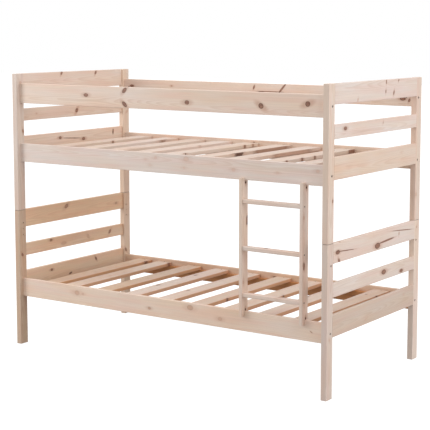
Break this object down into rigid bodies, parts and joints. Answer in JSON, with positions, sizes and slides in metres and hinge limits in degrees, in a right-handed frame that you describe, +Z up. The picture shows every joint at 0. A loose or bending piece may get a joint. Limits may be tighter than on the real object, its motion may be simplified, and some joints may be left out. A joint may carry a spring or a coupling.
{
  "type": "bunk bed",
  "caption": "Pine bunk bed of stacking single beds with slatted bases, guard rails around the top bed and a straight ladder fixed between the side rails at the front.",
  "frame": {"origin": "on the floor, under the middle of the bed", "axes": "+X to the right along the bed, +Y to the rear, +Z up; the ladder is on the -Y side"},
  "size_m": [2.07, 1.005, 1.5603],
  "materials": {
    "pine": "clear-coated knotty softwood, satin",
    "beech": "fluted hardwood dowel, raw",
    "steel": "dark burnished zinc"
  },
  "bodies": {
    "lower_bed": {"lower_post_front_left": "pine", "lower_post_front_right": "pine", "lower_post_rear_left": "pine", "lower_post_rear_right": "pine", "lower_left_top_rail": "pine", "lower_left_mid_rail": "pine", "lower_left_low_rail": "pine", "lower_right_top_rail": "pine", "lower_right_mid_rail": "pine", "lower_right_low_rail": "pine", "lower_side_rail_front": "pine", "lower_side_rail_rear": "pine", "lower_bearer_front": "pine", "lower_bearer_rear": "pine", "lower_slats": "pine", "lower_bolts": "steel", "lower_barrel_nuts": "steel", "lower_rail_dowels": "beech", "lower_panel_dowels": "beech", "lower_bearer_screws": "steel", "lower_slat_screws": "steel", "stacking_pins": "steel"},
    "upper_bed": {"upper_post_front_left": "pine", "upper_post_front_right": "pine", "upper_post_rear_left": "pine", "upper_post_rear_right": "pine", "upper_left_top_rail": "pine", "upper_left_mid_rail": "pine", "upper_left_low_rail": "pine", "upper_right_top_rail": "pine", "upper_right_mid_rail": "pine", "upper_right_low_rail": "pine", "upper_side_rail_front": "pine", "upper_side_rail_rear": "pine", "guard_rail_front": "pine", "guard_rail_rear": "pine", "upper_bearer_front": "pine", "upper_bearer_rear": "pine", "upper_slats": "pine", "upper_bolts": "steel", "upper_barrel_nuts": "steel", "upper_rail_dowels": "beech", "upper_panel_dowels": "beech", "upper_bearer_screws": "steel", "upper_slat_screws": "steel", "ladder_upright_left": "pine", "ladder_upright_right": "pine", "ladder_rung_1": "pine", "ladder_rung_2": "pine", "ladder_rung_3": "pine", "ladder_rung_screws": "steel", "ladder_fixing_screws": "steel"}
  },
  "joints": [
    {"name": "upper_bed_lift", "type": "slide", "parent": "lower_bed", "child": "upper_bed", "axis": [0, 0, 1], "range_m": [0, 0.08]}
  ]
}
